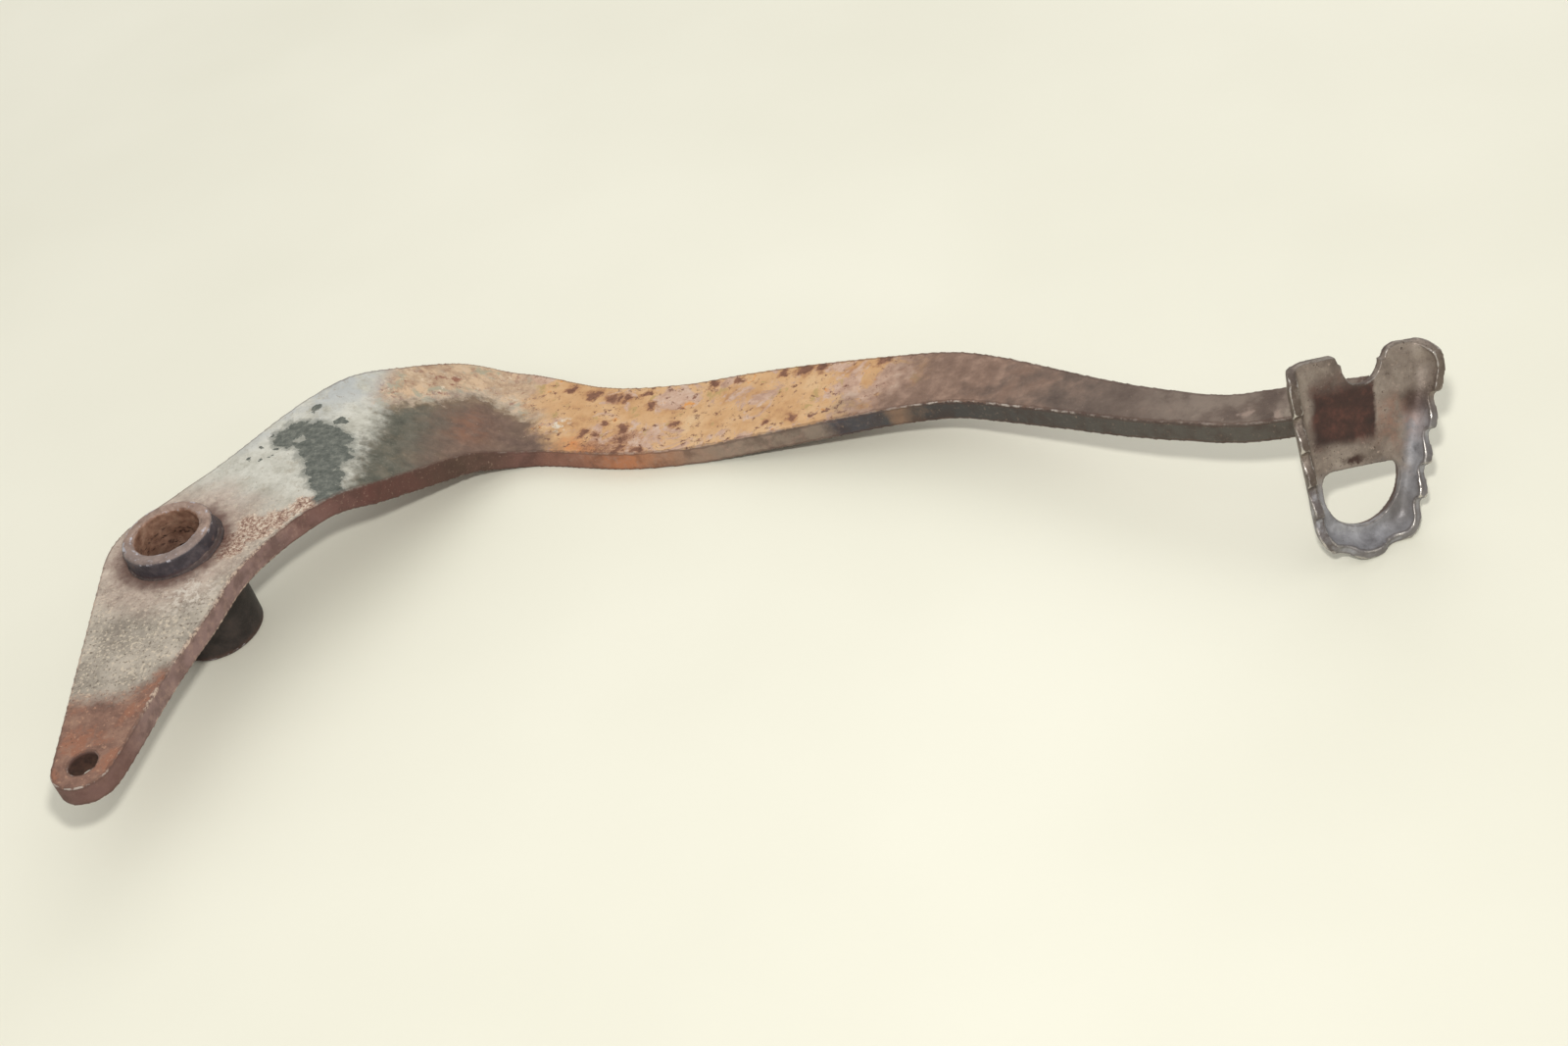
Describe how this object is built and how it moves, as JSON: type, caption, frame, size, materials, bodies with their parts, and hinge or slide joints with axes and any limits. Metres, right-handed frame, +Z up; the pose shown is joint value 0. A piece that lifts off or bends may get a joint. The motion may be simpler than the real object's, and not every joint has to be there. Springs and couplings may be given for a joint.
{
  "type": "motorcycle foot lever",
  "caption": "Foot lever for a motorcycle: bent steel plate arm with a welded plain pivot tube, a short tail with a linkage hole, and a serrated foot pad with a notch and a D-shaped hole.",
  "frame": {"origin": "on the axis of the pivot tube, at the tube's lower end, where the lever rests on a table", "axes": "+Z up along the pivot tube's axis, out of the table; +X from the pivot towards the foot pad; +Y to the side the arm bulges to"},
  "size_m": [0.3437, 0.1745, 0.0482],
  "materials": {
    "plate_steel": "dull worn paint over rusting steel plate, pitted",
    "tube_steel": "dark, lightly rusted steel tube with worn bright rims",
    "pad_steel": "bare pressed steel, browned, with polished tooth edges",
    "weld_steel": "dark oxidised weld metal"
  },
  "bodies": {
    "root": {"arm_plate": "plate_steel", "pivot_tube": "tube_steel", "foot_pad": "pad_steel", "pivot_weld": "weld_steel", "pad_weld": "weld_steel"}
  },
  "joints": []
}
